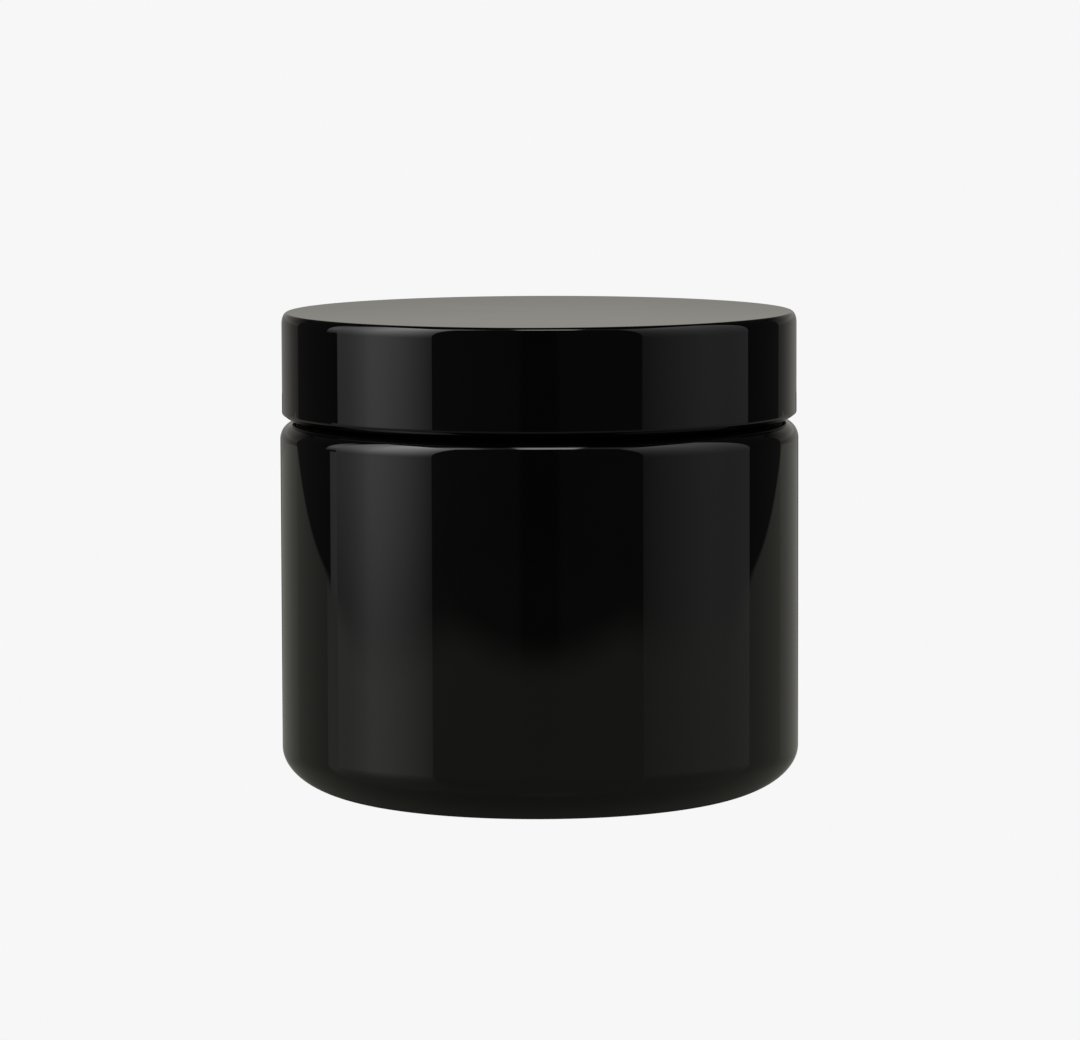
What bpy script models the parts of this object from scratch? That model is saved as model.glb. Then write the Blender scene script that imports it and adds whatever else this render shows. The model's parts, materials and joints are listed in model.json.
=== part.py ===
"""A cosmetic cream jar: a black glass jar with a threaded neck, a two-walled screw lid with its foam liner,
and a sealing disc in the mouth.

Metres, +Z up. The origin is the centre of the base on the surface that the jar stands on, and +Z is the axis
of the jar. The lid is screwed down. Pieces that touch on the real jar keep FIT between them.
"""

import math

import bmesh
import bpy

MM = 0.001

# Driving dimensions.
FIT = 0.3 * MM  # between pieces that touch or that were pressed together
STEPS = 64  # facets round the axis

BODY_R = 35.0 * MM
SHOULDER_Z = 50.9 * MM
SHOULDER_ROUND = 2.3 * MM
HEEL_ACROSS = 12.0 * MM  # the heel is a quarter of an ellipse
HEEL_UP = 6.8 * MM
BASE_RING_WIDTH = 3.5 * MM  # the flat ring that the jar stands on
BASE_SLOPE = 2.5 * MM  # width of the slope from the ring up into the hollow
BASE_HOLLOW = 1.0 * MM  # height of the hollow at the slope
BASE_CROWN = 0.4 * MM  # how much higher the hollow is in the middle

NECK_R = 30.05 * MM  # at the root of the thread
NECK_HEIGHT = 10.0 * MM
NECK_FILLET = 0.6 * MM
MOUTH_R = 26.8 * MM
LIP_ROUND = 0.8 * MM
WALL = 4.2 * MM
FLOOR = 5.2 * MM
FLOOR_CROWN = 0.6 * MM  # how much higher the middle of the floor is
INNER_HEEL = 9.0 * MM
INNER_SHOULDER = 3.4 * MM
THROAT_DROP = 1.6 * MM  # from the shoulder down to the widest level of the throat's flare
THROAT_ROUND = 1.2 * MM

THREAD_PITCH = 4.233 * MM  # six threads to the inch
THREAD_DEPTH = 1.2 * MM
THREAD_TURNS = 1.25
THREAD_START_Z = 53.6 * MM  # centre of the ridge at its lower end
THREAD_BASE = 2.2 * MM  # width of the ridge at its root
THREAD_RUNOUT = 0.09  # of a turn, over which each end of a ridge sinks into its wall
THREAD_SINK = 0.15 * MM  # how far its ends lie under the surface of the wall
THREAD_EMBED = 0.35 * MM  # how far its root runs into the wall
FLANK_ANGLE = math.radians(30)
FLANK = math.tan(FLANK_ANGLE)

LID_R = 34.75 * MM
LID_HEIGHT = 14.4 * MM
LID_TOP_ROUND = 1.7 * MM
LID_LOWER_ACROSS = 1.1 * MM  # the lower edge is a quarter of an ellipse
LID_LOWER_UP = 1.4 * MM
SHELL_WALL = 1.2 * MM
SHELL_TOP = 1.1 * MM
SHELL_CORNER = 0.6 * MM  # chamfer inside the shell, round its ceiling

INSERT_R = 32.6 * MM
INSERT_TOP = 0.9 * MM
INSERT_CORNER = 0.5 * MM
INSERT_RIDGE_BASE = 1.9 * MM
INSERT_FIRST_TURN = 0.17  # where its thread starts, in turns from the start of the jar's thread
FOOT_TALL = 0.6 * MM  # the flange at the foot of the inner cap
HOLD_DEPTH = 0.2 * MM  # how far the bead under the liner reaches in below it

SNAP_UP = 2.8 * MM  # centre of the inner cap's snap bead above the lid's foot
SNAP_DEPTH = 0.6 * MM
SHELL_BEAD_UP = 1.55 * MM  # centre of the shell's bead, which sits under the snap bead
SHELL_BEAD_DEPTH = 0.55 * MM
SPLINES = 12  # ribs that stop the inner cap from turning in the shell
SPLINE_WIDTH = 1.6 * MM
SPLINE_DEPTH = 0.6 * MM
SPLINE_UP = 4.2 * MM  # their lower ends above the lid's foot
SPLINE_END = 1.5 * MM  # their upper ends below the ceiling that they stand under
SPLINE_EMBED = 0.5 * MM  # how far they run into the wall that they stand on

LINER_THICK = 1.0 * MM
DISC_THICK = 0.5 * MM
DISC_DISH = 2.6 * MM  # how far the disc's panel lies below its flange
DISC_SKIRT = 0.4 * MM  # how far the rib round the panel hangs below it
TAB_R = 7.0 * MM
TAB_THICK = 0.7 * MM
TAB_GAP = 0.8 * MM  # a fingernail goes in between the tab and the panel

# Heights and radii that follow from them.
RIM_Z = SHOULDER_Z + NECK_HEIGHT
LID_Z = SHOULDER_Z + FIT
TOP_Z = LID_Z + LID_HEIGHT
DISC_Z = RIM_Z + FIT
LINER_Z = DISC_Z + DISC_THICK + FIT
INSERT_CEILING_Z = LINER_Z + LINER_THICK + FIT
INSERT_TOP_Z = INSERT_CEILING_Z + INSERT_TOP
SHELL_CEILING_Z = TOP_Z - SHELL_TOP
SHELL_INNER_R = LID_R - SHELL_WALL
CREST_R = NECK_R + THREAD_DEPTH
INSERT_ROOT_R = CREST_R + FIT
INSERT_CREST_R = NECK_R + 1.15 * FIT
FLANGE_R = SHELL_INNER_R - 1.15 * FIT
LINER_R = INSERT_ROOT_R - 0.65 * MM


def clear_scene():
    for old in list(bpy.data.objects):
        bpy.data.objects.remove(old)


def material(name, colour, roughness, metallic=0.0):
    made = bpy.data.materials.new(name)
    made.use_nodes = True
    surface = made.node_tree.nodes["Principled BSDF"]
    surface.inputs["Base Color"].default_value = (*colour, 1.0)
    surface.inputs["Roughness"].default_value = roughness
    surface.inputs["Metallic"].default_value = metallic
    made.diffuse_color = (*colour, 1.0)
    return made


def arc(centre_r, centre_z, across, up, start, end, count):
    """Points on an ellipse in the (radius, height) plane, from angle start to end in degrees."""
    points = []
    for i in range(count + 1):
        a = math.radians(start + (end - start) * i / count)
        points.append((centre_r + across * math.cos(a), centre_z + up * math.sin(a)))
    return points


def mesh_object(name, mesh, surface):
    made = bpy.data.objects.new(name, mesh)
    bpy.context.collection.objects.link(made)
    mesh.materials.append(surface)
    return made


def turned(name, outline, surface):
    """A solid turned round +Z. The outline goes from the axis, down its outer side, and back to the axis."""
    mesh = bpy.data.meshes.new(name)
    points = [(r, 0.0, z) for r, z in outline]
    mesh.from_pydata(points, [(i, i + 1) for i in range(len(points) - 1)], [])
    made = mesh_object(name, mesh, surface)
    screw = made.modifiers.new("Turn", "SCREW")
    screw.steps = screw.render_steps = STEPS
    screw.use_merge_vertices = True
    screw.merge_threshold = 0.01 * MM
    screw.use_smooth_shade = False
    return made


def closed_mesh(name, rings):
    """A closed tube through the rings, which all have the same number of points, with flat ends."""
    bm = bmesh.new()
    made = [[bm.verts.new(p) for p in ring] for ring in rings]
    count = len(rings[0])
    for lower, upper in zip(made, made[1:]):
        for i in range(count):
            j = (i + 1) % count
            bm.faces.new((lower[i], lower[j], upper[j], upper[i]))
    bm.faces.new(made[0][::-1])
    bm.faces.new(made[-1])
    bmesh.ops.recalc_face_normals(bm, faces=bm.faces)
    mesh = bpy.data.meshes.new(name)
    bm.to_mesh(mesh)
    bm.free()
    return mesh


def helper(name, mesh, surface):
    made = mesh_object(name, mesh, surface)
    made.hide_render = True
    made.display_type = "WIRE"
    return made


def thread_ridge(name, root_r, crest_r, base_width, start_z, start_turn, turns, surface):
    """A right-hand thread ridge whose ends run out into the wall that it stands on."""
    depth = abs(crest_r - root_r)
    sign = 1 if crest_r > root_r else -1
    half_facet = 0.5 / STEPS  # keeps the ridge's rings off the edges between the wall's facets
    count = round(turns * STEPS)
    rings = []
    for i in range(count + 1):
        turn = turns * i / count
        height = min(1.0, min(turn, turns - turn) / THREAD_RUNOUT)
        reach = (depth + THREAD_SINK) * math.sin(height * math.pi / 2) - THREAD_SINK
        half_base = base_width / 2 + THREAD_EMBED * FLANK
        half_crest = base_width / 2 - reach * FLANK
        a = 2 * math.pi * (start_turn + turn + half_facet)
        z = start_z + THREAD_PITCH * (turn + half_facet)
        inner, outer = root_r - sign * THREAD_EMBED, root_r + sign * reach
        section = [(inner, -half_base), (outer, -half_crest), (outer, half_crest), (inner, half_base)]
        rings.append([(r * math.cos(a), r * math.sin(a), z + up) for r, up in section])
    return helper(name, closed_mesh(name, rings), surface)


def box_corners(low, high):
    (x0, y0, z0), (x1, y1, z1) = low, high
    return [[(x, y, z) for x, y in ((x0, y0), (x1, y0), (x1, y1), (x0, y1))] for z in (z0, z1)]


def splines(name, inner_r, outer_r, low_z, high_z, first_angle, surface):
    """Short upright ribs spaced round the axis, as one mesh of separate bars."""
    bm = bmesh.new()
    for k in range(SPLINES):
        a = first_angle + 2 * math.pi * k / SPLINES
        across = SPLINE_WIDTH / 2
        rings = box_corners((inner_r, -across, low_z), (outer_r, across, high_z))
        for ring in rings:
            for i, (x, y, z) in enumerate(ring):
                ring[i] = (x * math.cos(a) - y * math.sin(a), x * math.sin(a) + y * math.cos(a), z)
        bar = closed_mesh(name, rings)
        bm.from_mesh(bar)
        bpy.data.meshes.remove(bar)
    mesh = bpy.data.meshes.new(name)
    bm.to_mesh(mesh)
    bm.free()
    return helper(name, mesh, surface)


def join(target, addition):
    union = target.modifiers.new(addition.name, "BOOLEAN")
    union.operation = "UNION"
    union.solver = "EXACT"
    union.object = addition


def finish_shading(made):
    """Applies the modifiers, and shades the round faces smooth with the edges left sharp."""
    graph = bpy.context.evaluated_depsgraph_get()
    mesh = bpy.data.meshes.new_from_object(made.evaluated_get(graph))
    made.modifiers.clear()
    made.data = mesh
    mesh.name = made.name
    mesh.shade_smooth()
    mesh.set_sharp_from_angle(angle=math.radians(35))


def bead(wall_r, crest_r, centre_z, half, slope):
    """The outline of a bead round an upright wall, from its lower edge to its upper edge."""
    return [
        (wall_r, centre_z - half - slope),
        (crest_r, centre_z - half),
        (crest_r, centre_z + half),
        (wall_r, centre_z + half + slope),
    ]


def make_jar_body(surface):
    inner_r = BODY_R - WALL
    heel_r = BODY_R - HEEL_ACROSS
    ring_inner_r = heel_r - BASE_RING_WIDTH
    throat_z = SHOULDER_Z - THROAT_DROP
    throat_round_z = throat_z + 1.6 * THROAT_ROUND
    crown_r = 10.0 * MM  # the floor falls a third of its crown out to here
    inside_floor_to_neck = (
        [(0.0, FLOOR + FLOOR_CROWN), (crown_r, FLOOR + FLOOR_CROWN * 2 / 3)]
        + arc(inner_r - INNER_HEEL, FLOOR + INNER_HEEL, INNER_HEEL, INNER_HEEL, -90, 0, 6)
        + arc(inner_r - INNER_SHOULDER, throat_z - INNER_SHOULDER, INNER_SHOULDER, INNER_SHOULDER, 0, 70, 4)
        + arc(MOUTH_R + THROAT_ROUND, throat_round_z, THROAT_ROUND, THROAT_ROUND, 250, 180, 3)
    )
    lip = arc(MOUTH_R + LIP_ROUND, RIM_Z - LIP_ROUND, LIP_ROUND, LIP_ROUND, 180, 90, 3) + arc(
        NECK_R - LIP_ROUND, RIM_Z - LIP_ROUND, LIP_ROUND, LIP_ROUND, 90, 0, 3
    )
    neck_to_shoulder = arc(
        NECK_R + NECK_FILLET, SHOULDER_Z + NECK_FILLET, NECK_FILLET, NECK_FILLET, 180, 270, 2
    )
    shoulder = arc(
        BODY_R - SHOULDER_ROUND, SHOULDER_Z - SHOULDER_ROUND, SHOULDER_ROUND, SHOULDER_ROUND, 90, 0, 6
    )
    heel = arc(heel_r, HEEL_UP, HEEL_ACROSS, HEEL_UP, 0, -90, 10)
    base = [
        (ring_inner_r, 0.0),
        (ring_inner_r - BASE_SLOPE, BASE_HOLLOW),
        (0.0, BASE_HOLLOW + BASE_CROWN),
    ]
    made = turned("jar_body", inside_floor_to_neck + lip + neck_to_shoulder + shoulder + heel + base, surface)
    join(
        made,
        thread_ridge(
            "jar_thread_guide", NECK_R, CREST_R, THREAD_BASE, THREAD_START_Z, 0.0, THREAD_TURNS, surface
        ),
    )
    return made


def make_lid_shell(surface):
    entry = 0.25 * MM  # chamfer at the lower end of the inner wall
    outline = (
        [(0.0, TOP_Z)]
        + arc(LID_R - LID_TOP_ROUND, TOP_Z - LID_TOP_ROUND, LID_TOP_ROUND, LID_TOP_ROUND, 90, 0, 6)
        + arc(
            LID_R - LID_LOWER_ACROSS, LID_Z + LID_LOWER_UP, LID_LOWER_ACROSS, LID_LOWER_UP, 0, -90, 5
        )
        + [(SHELL_INNER_R, LID_Z + entry)]
        + bead(SHELL_INNER_R, SHELL_INNER_R - SHELL_BEAD_DEPTH, LID_Z + SHELL_BEAD_UP, 0.15 * MM, 0.25 * MM)
        + [(SHELL_INNER_R, SHELL_CEILING_Z - SHELL_CORNER)]
        + [(SHELL_INNER_R - SHELL_CORNER, SHELL_CEILING_Z), (0.0, SHELL_CEILING_Z)]
    )
    made = turned("lid_shell", outline, surface)
    ribs = splines(
        "shell_rib_guide",
        SHELL_INNER_R - SPLINE_DEPTH,
        SHELL_INNER_R + SPLINE_EMBED,
        LID_Z + SPLINE_UP,
        SHELL_CEILING_Z - SPLINE_END,
        0.0,
        surface,
    )
    join(made, ribs)
    return made


def make_lid_insert(surface):
    foot_z = LID_Z + FIT
    foot_top_z = foot_z + FOOT_TALL
    step = 0.1 * MM  # the fall of the flange's upper face towards the wall
    entry = 0.3 * MM  # chamfer at the lower end of the threaded wall
    hold_r = LINER_R - HOLD_DEPTH
    hold_z = LINER_Z - FIT
    seat_r = LINER_R + FIT
    outline = [(0.0, INSERT_TOP_Z), (INSERT_R - INSERT_CORNER, INSERT_TOP_Z)]
    outline += [(INSERT_R, INSERT_TOP_Z - INSERT_CORNER)]
    outline += bead(INSERT_R, INSERT_R + SNAP_DEPTH, LID_Z + SNAP_UP, 0.3 * MM, 0.35 * MM)[::-1]
    outline += [(INSERT_R, foot_top_z + step), (FLANGE_R, foot_top_z), (FLANGE_R, foot_z)]
    outline += [(INSERT_ROOT_R + entry, foot_z), (INSERT_ROOT_R, foot_z + entry)]
    # The bead that holds the liner up has a slope below it and a short one above.
    outline += [(INSERT_ROOT_R, hold_z - 1.1 * MM), (hold_r, hold_z - 0.4 * MM), (hold_r, hold_z)]
    outline += [(seat_r, hold_z + FIT), (seat_r, INSERT_CEILING_Z), (0.0, INSERT_CEILING_Z)]
    made = turned("lid_insert", outline, surface)
    # At the same angle the lid's ridge lies this far below the jar's, so that its upper flank bears on the
    # jar's lower flank when the lid is tight.
    below = (THREAD_BASE + INSERT_RIDGE_BASE) / 2 - (INSERT_ROOT_R - NECK_R) * FLANK
    below += FIT / math.cos(FLANK_ANGLE)
    start_z = THREAD_START_Z + THREAD_PITCH * INSERT_FIRST_TURN - below
    ridge = thread_ridge(
        "insert_thread_guide",
        INSERT_ROOT_R,
        INSERT_CREST_R,
        INSERT_RIDGE_BASE,
        start_z,
        INSERT_FIRST_TURN,
        THREAD_TURNS,
        surface,
    )
    join(made, ridge)
    ribs = splines(
        "insert_rib_guide",
        INSERT_R - SPLINE_EMBED,
        INSERT_R + SPLINE_DEPTH,
        LID_Z + SPLINE_UP,
        INSERT_TOP_Z - SPLINE_END,
        math.pi / SPLINES,
        surface,
    )
    join(made, ribs)
    return made


def make_lid_liner(surface):
    edge = 0.15 * MM
    top_z = LINER_Z + LINER_THICK
    outline = [(0.0, top_z), (LINER_R - edge, top_z), (LINER_R, top_z - edge)]
    outline += [(LINER_R, LINER_Z + edge), (LINER_R - edge, LINER_Z), (0.0, LINER_Z)]
    return turned("lid_liner", outline, surface)


def make_sealing_disc(surface):
    plug_r = MOUTH_R - FIT
    flange_r = NECK_R - 1.5 * FIT
    top_z = DISC_Z + DISC_THICK
    panel_top_z = top_z - DISC_DISH
    panel_z = panel_top_z - DISC_THICK
    skirt_z = panel_z - DISC_SKIRT
    chamfer = 0.2 * MM
    # From the middle of the panel, up the dish's wall, which leans and bends at its foot, to the flange.
    outline = [
        (0.0, panel_top_z),
        (plug_r - 2.2 * MM, panel_top_z),
        (plug_r - 1.1 * MM, panel_top_z + 0.7 * MM),
        (plug_r - 0.7 * MM, top_z - chamfer),
        (plug_r - 0.3 * MM, top_z),
        (flange_r - chamfer, top_z),
        (flange_r, top_z - chamfer),
        (flange_r, DISC_Z),
    ]
    # The underside follows the round of the lip, FIT away from it, down into the mouth.
    outline += arc(MOUTH_R + LIP_ROUND, RIM_Z - LIP_ROUND, LIP_ROUND + FIT, LIP_ROUND + FIT, 90, 180, 3)
    outline += [
        (plug_r, skirt_z),
        (plug_r - 0.6 * MM, skirt_z),
        (plug_r - 0.9 * MM, panel_z),
        (0.0, panel_z),
    ]
    made = turned("sealing_disc", outline, surface)
    for guide in lift_tab(panel_top_z, surface):
        join(made, guide)
    return made


def lift_tab(panel_top_z, surface):
    """A half-round tongue held just above the disc's panel by a web along its straight edge."""
    bite = 0.3 * MM  # how far the web runs into the tongue and the panel
    half_web = TAB_R - 1.5 * MM
    web_back, web_front = 0.2 * MM, 1.1 * MM
    low = panel_top_z + TAB_GAP
    sides = 12
    turns = (math.pi * i / sides for i in range(sides + 1))
    tongue = [(TAB_R * math.cos(a), TAB_R * math.sin(a)) for a in turns]
    plate = closed_mesh("tongue", [[(x, y, z) for x, y in tongue] for z in (low, low + TAB_THICK)])
    corners = box_corners((-half_web, web_back, panel_top_z - bite), (half_web, web_front, low + bite))
    web = closed_mesh("web", corners)
    return [helper("tab_web_guide", web, surface), helper("tab_tongue_guide", plate, surface)]


def main():
    clear_scene()
    black_glass = material("black_glass", (0.006, 0.006, 0.006), 0.05)
    gloss_black = material("gloss_black_plastic", (0.006, 0.006, 0.006), 0.08)
    black_pp = material("black_polypropylene", (0.018, 0.018, 0.019), 0.4)
    foam = material("foam_polyethylene", (0.82, 0.82, 0.80), 0.6)
    film = material("clear_polyethylene", (0.78, 0.80, 0.82), 0.35)
    pieces = [
        make_jar_body(black_glass),
        make_lid_shell(gloss_black),
        make_lid_insert(black_pp),
        make_lid_liner(foam),
        make_sealing_disc(film),
    ]
    for piece in pieces:
        finish_shading(piece)


main()
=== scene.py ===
"""The looks of the cosmetic cream jar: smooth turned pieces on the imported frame, their materials, and a
small product studio.

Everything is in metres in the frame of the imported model. Sizes come from the frame's boxes and joints where
they can, and the rest are named below.
"""

import json
import math

import bmesh
import bpy
import numpy as np
from mathutils import Matrix, Vector


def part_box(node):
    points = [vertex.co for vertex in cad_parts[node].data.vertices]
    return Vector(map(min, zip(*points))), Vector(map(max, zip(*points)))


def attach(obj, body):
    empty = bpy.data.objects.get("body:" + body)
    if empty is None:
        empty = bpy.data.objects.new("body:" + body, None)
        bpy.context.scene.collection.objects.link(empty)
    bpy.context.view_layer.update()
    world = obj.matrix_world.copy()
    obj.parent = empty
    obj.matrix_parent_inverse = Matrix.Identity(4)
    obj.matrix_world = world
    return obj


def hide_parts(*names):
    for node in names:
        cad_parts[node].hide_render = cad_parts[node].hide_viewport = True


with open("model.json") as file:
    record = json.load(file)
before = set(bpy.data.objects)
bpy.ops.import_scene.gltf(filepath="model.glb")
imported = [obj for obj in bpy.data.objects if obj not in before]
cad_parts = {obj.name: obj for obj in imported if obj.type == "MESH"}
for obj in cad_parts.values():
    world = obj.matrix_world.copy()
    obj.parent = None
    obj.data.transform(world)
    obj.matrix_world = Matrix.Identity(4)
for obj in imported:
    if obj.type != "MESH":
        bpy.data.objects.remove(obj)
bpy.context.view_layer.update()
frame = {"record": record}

MM = 0.001
COLUMNS = 360  # of points round the axis of a plain turned piece
MERGE = 2e-6  # outline points closer than this are one point
NEAR = 1e-7  # how close two measures are when they mean the same wall

# ---------------------------------------------------------------- sizes

FIT = 0.3 * MM  # the gap between pieces that touch
BODY_R, RIM_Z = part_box("jar_body")[1].x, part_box("jar_body")[1].z
LID_R, TOP_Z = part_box("lid_shell")[1].x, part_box("lid_shell")[1].z
LID_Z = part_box("lid_shell")[0].z
FLANGE_R, INSERT_TOP_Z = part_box("lid_insert")[1].x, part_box("lid_insert")[1].z
FOOT_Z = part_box("lid_insert")[0].z
LINER_R, LINER_TOP_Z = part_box("lid_liner")[1].x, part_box("lid_liner")[1].z
LINER_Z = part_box("lid_liner")[0].z
DISC_R, DISC_TOP_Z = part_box("sealing_disc")[1].x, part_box("sealing_disc")[1].z
DISC_FOOT_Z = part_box("sealing_disc")[0].z
PITCH = 2 * math.pi * next(
    c["ratio"] for c in frame["record"]["behaviour"]["couplings"] if c["joint"] == "lid_lift"
)

# The jar's body, outside and inside.
SHOULDER_Z = LID_Z - FIT
SHOULDER_ROUND = 2.3 * MM
HEEL_ACROSS, HEEL_UP = 12.0 * MM, 6.8 * MM
BASE_RING_WIDTH, BASE_SLOPE = 3.5 * MM, 3.0 * MM  # the ring it stands on, and the slope inside the ring
BASE_HOLLOW = 1.0 * MM
BASE_STEP_R = 12.6 * MM  # where the hollow steps up again
STIPPLE_MARKS, STIPPLE_DEPTH, STIPPLE_EDGE = 72, 0.07 * MM, 0.2 * MM
NECK_R, NECK_FOOT_ROUND = 30.05 * MM, 0.6 * MM
MOUTH_R, LIP_ROUND = 26.8 * MM, 0.8 * MM
WALL = 4.2 * MM
FLOOR, FLOOR_CROWN = 5.2 * MM, 0.6 * MM
INNER_HEEL, INNER_SHOULDER = 9.0 * MM, 3.4 * MM
THROAT_DROP, THROAT_ROUND = 1.6 * MM, 1.2 * MM

# The thread, on the neck and in the insert.
THREAD_DEPTH, THREAD_BASE, THREAD_TURNS = 1.2 * MM, 2.2 * MM, 1.25
THREAD_START_Z = 53.6 * MM
THREAD_RUNOUT = 0.09  # of a turn
FLANK_ANGLE = math.radians(30)
FLANK = math.tan(FLANK_ANGLE)
INSERT_ROOT_R = NECK_R + THREAD_DEPTH + FIT
INSERT_CREST_R = NECK_R + 1.15 * FIT
INSERT_RIDGE_BASE = 1.9 * MM
INSERT_FIRST_TURN = 0.17
INSERT_THREAD_EDGE = 0.5 * MM  # the plain wall under the insert's thread

# The lid's shell.
LID_TOP_ACROSS, LID_TOP_DOWN = 0.75 * MM, 1.5 * MM
LID_BEVEL_ACROSS, LID_BEVEL_UP, LID_BEVEL_ROUND = 1.1 * MM, 0.78 * MM, 0.38 * MM  # its lower edge
SHELL_INNER_R = LID_R - 1.2 * MM
SHELL_CEILING_Z = TOP_Z - 1.1 * MM
SHELL_CORNER = 0.5 * MM
SHELL_ENTRY = 0.12 * MM  # the broken edge at its mouth
SHELL_BEAD_Z, SHELL_BEAD_DEPTH = LID_Z + 1.55 * MM, 0.55 * MM
SHELL_BEAD_HALF, SHELL_BEAD_SLOPE = 0.15 * MM, 0.25 * MM

# The threaded insert in the shell, and the ribs of both.
INSERT_R = FLANGE_R - 0.6 * MM
INSERT_CEILING_Z = LINER_TOP_Z + FIT
INSERT_CORNER = 0.5 * MM
SNAP_Z, SNAP_HALF, SNAP_SLOPE = LID_Z + 2.8 * MM, 0.3 * MM, 0.35 * MM
FOOT_TALL = 0.6 * MM
HOLD_DEPTH = 0.2 * MM  # how far the bead under the liner stands in past the liner's edge
HOLD_TALL, HOLD_SLOPE = 0.4 * MM, 0.7 * MM
SPLINES, SPLINE_WIDTH, SPLINE_DEPTH = 12, 1.6 * MM, 0.6 * MM
SPLINE_LOW_Z, SPLINE_END = LID_Z + 4.2 * MM, 1.5 * MM
SPLINE_FLANK = 0.02 * MM  # half the height in which a rib's end rises
SPLINE_SIDE = 1.12  # how far the foot of a rib's side stands out, in half widths

# The liner and the sealing disc.
LINER_SKIN = 0.08 * MM
RIM_PRINT, RIM_PRINT_HALF, RIM_PRINT_EDGE = 0.08 * MM, 2.1 * MM, 0.8 * MM
DISC_THICK, DISC_DISH = 0.5 * MM, 2.6 * MM
TAB_R, TAB_THICK, TAB_GAP = 7.0 * MM, 0.7 * MM, 0.8 * MM
WEB_NEAR, WEB_FAR = 0.2 * MM, 1.1 * MM

# ---------------------------------------------------------------- outlines in the (radius, height) plane


def arc(centre_r, centre_z, across, up, start, end, count):
    """Points on an ellipse from angle start to end, in degrees."""
    turn = np.radians(np.linspace(start, end, count + 1))
    return [(centre_r + across * math.cos(a), centre_z + up * math.sin(a)) for a in turn]


def rounded(corners, count=5):
    """Corners (r, z) or (r, z, radius), each radius replaced by an arc of that size."""
    points = []
    for i, corner in enumerate(corners):
        radius = corner[2] if len(corner) > 2 else 0.0
        here = Vector(corner[:2])
        if not radius or i in (0, len(corners) - 1):
            points.append(tuple(here))
            continue
        back = (Vector(corners[i - 1][:2]) - here).normalized()
        on = (Vector(corners[i + 1][:2]) - here).normalized()
        half = back.angle(on) / 2
        if abs(half - math.pi / 2) < 1e-4:
            points.append(tuple(here))
            continue
        start, end = here + back * radius / math.tan(half), here + on * radius / math.tan(half)
        centre = here + (back + on).normalized() * radius / math.sin(half)
        first = start - centre
        sweep = first.angle_signed(end - centre)
        for k in range(count + 1):
            a = -sweep * k / count
            spoke = Matrix.Rotation(a, 2) @ first
            points.append(tuple(centre + spoke))
    return points


def split(start, end, step):
    """Points along a straight stretch, both ends included, at most a step apart."""
    count = max(1, math.ceil((Vector(end) - Vector(start)).length / step))
    return [tuple(Vector(start).lerp(Vector(end), k / count)) for k in range(count + 1)]


def wall(start, end, step):
    """A straight stretch with a point close to each end, so that its shading stays flat up to the rounds."""
    along = (Vector(end) - Vector(start)).normalized() * 0.03 * MM
    inner = split(Vector(start) + along, Vector(end) - along, step)
    return [start, *inner, end]


def bead(wall_r, crest_r, centre_z, half, slope, foot_round, crest_round):
    """The corners of a ring bead on a wall, from its lower edge up."""
    return [
        (wall_r, centre_z - half - slope, foot_round),
        (crest_r, centre_z - half, crest_round),
        (crest_r, centre_z + half, crest_round),
        (wall_r, centre_z + half + slope, foot_round),
    ]


def spline_ends(wall_r, low_z, high_z):
    """The points on a ribbed wall between which its ribs rise and end, from the lowest up."""
    return [(wall_r, z + side * SPLINE_FLANK) for z in (low_z, high_z) for side in (-1, 1)]


# ---------------------------------------------------------------- turned pieces


def smooth(u):
    """A smooth step from 0 to 1 over the same range."""
    u = np.clip(u, 0.0, 1.0)
    return u * u * (3 - 2 * u)


def ridge(angle, z, depth, base_width, start_z, start_turn):
    """How far a thread ridge stands out of its wall at each angle and height."""
    height = np.zeros_like(z)
    half_base = base_width / 2
    half_crest = half_base - depth * FLANK
    for lap in range(3):
        turn = angle / (2 * math.pi) - start_turn + lap
        inside = (turn >= 0) & (turn <= THREAD_TURNS)
        ramp = np.clip(np.minimum(turn, THREAD_TURNS - turn) / THREAD_RUNOUT, 0, 1)
        away = np.abs(z - (start_z + PITCH * turn))
        rise = smooth((half_base - away) / (half_base - half_crest))
        height = np.maximum(height, np.where(inside, depth * np.sin(ramp * math.pi / 2) * rise, 0))
    return height


def lathe(name, outline, shift=None, angles=None):
    """A solid turned round +Z from an outline of (r, z) that starts and ends on the axis.

    shift(angle, r, z) may return new (r, z) arrays for the grid of points between the two poles. angles
    are those of the columns, when they aren't to be evenly spread.
    """
    points = [outline[0]]
    for p in outline[1:]:
        if math.hypot(p[0] - points[-1][0], p[1] - points[-1][1]) > MERGE:
            points.append(p)
    top_z, bottom_z = points[0][1], points[-1][1]
    rings = np.array(points[1:-1])
    if angles is None:
        angles = np.linspace(0, 2 * math.pi, COLUMNS, endpoint=False)
    a, r = np.meshgrid(angles, rings[:, 0])
    z = np.repeat(rings[:, 1:2], len(angles), axis=1)
    if shift:
        r, z = shift(a, r, z)
    grid = np.stack([r * np.cos(a), r * np.sin(a), z], axis=-1).reshape(-1, 3)
    rows, around = len(rings), len(angles)
    verts = [(0, 0, top_z), *map(tuple, grid), (0, 0, bottom_z)]
    faces = []
    for j in range(around):
        k = (j + 1) % around
        faces.append((0, 1 + j, 1 + k))
        for i in range(rows - 1):
            low, high = 1 + i * around, 1 + (i + 1) * around
            faces.append((low + j, high + j, high + k, low + k))
        last = 1 + (rows - 1) * around
        faces.append((last + k, last + j, len(verts) - 1))
    mesh = bpy.data.meshes.new(name)
    mesh.from_pydata(verts, [], faces)
    mesh.shade_smooth()
    mesh.set_sharp_from_angle(angle=math.radians(50))
    made = bpy.data.objects.new(name, mesh)
    bpy.context.scene.collection.objects.link(made)
    return made


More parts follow.
